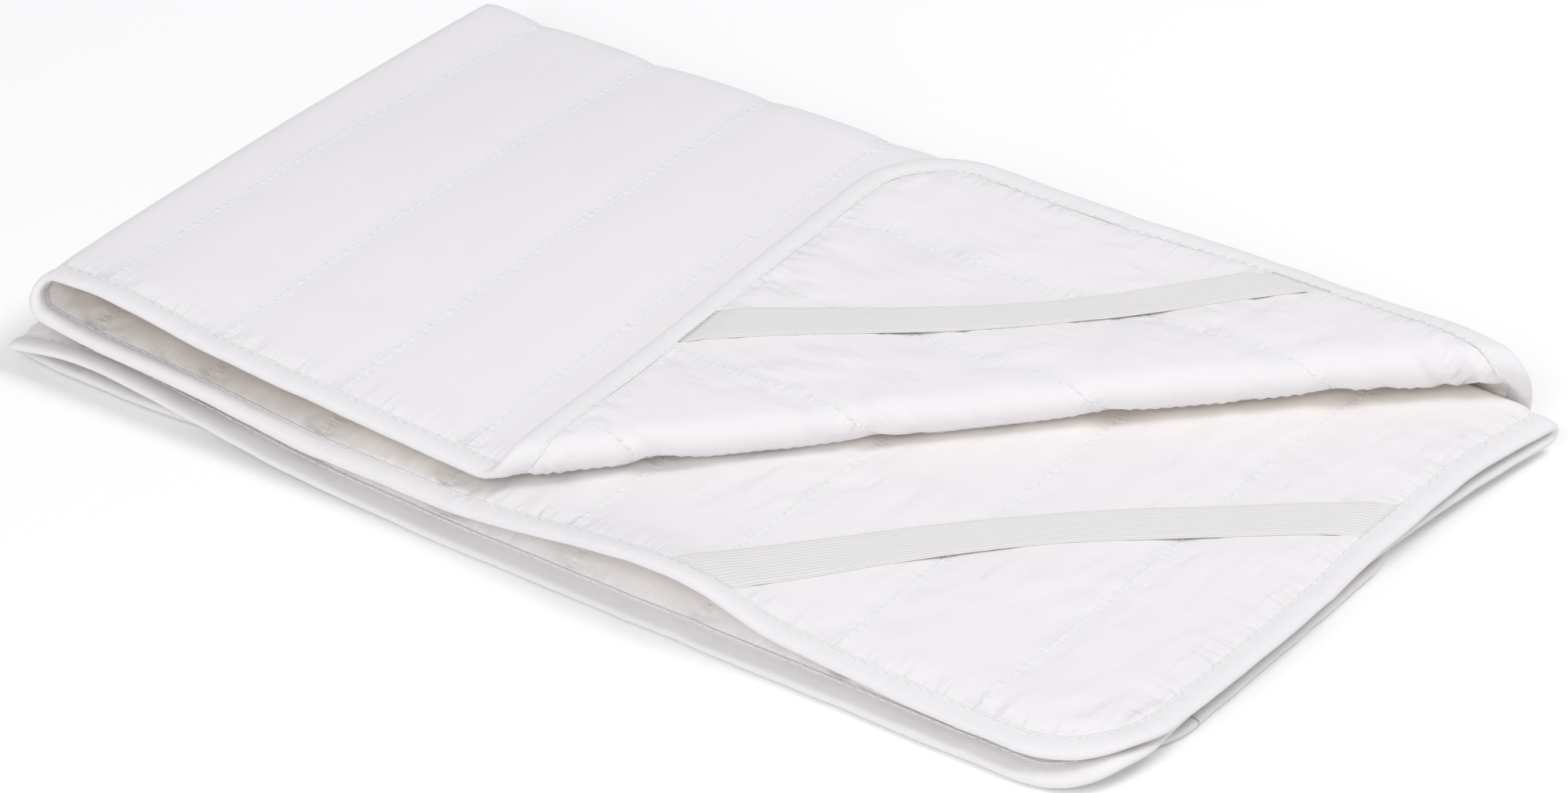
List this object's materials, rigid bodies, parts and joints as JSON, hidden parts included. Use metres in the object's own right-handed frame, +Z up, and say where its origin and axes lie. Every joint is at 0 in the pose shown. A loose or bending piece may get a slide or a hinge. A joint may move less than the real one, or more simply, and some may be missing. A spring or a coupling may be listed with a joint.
{
  "type": "mattress protector",
  "caption": "Quilted mattress protector folded flat with its top corner turned back, edges bound and an elastic band across each corner to hold it on the mattress.",
  "frame": {"origin": "on the surface it lies on, under the middle of the folded pad's outline", "axes": "+Z up; X along the folded pad's long side, fold one at -X and the open right edge at +X; Y across it, the open front edge at -Y and fold two at +Y"},
  "size_m": [0.6139, 0.3653, 0.0482],
  "materials": {
    "quilted_cotton": "white cotton, fine plain weave, matt",
    "binding_cotton": "white cotton tape, matt",
    "woven_elastic": "ribbed white elastic, matt"
  },
  "bodies": {
    "root": {"pad": "quilted_cotton", "binding": "binding_cotton", "elastic_1": "woven_elastic", "elastic_2": "woven_elastic", "elastic_3": "woven_elastic", "elastic_4": "woven_elastic"}
  },
  "joints": []
}
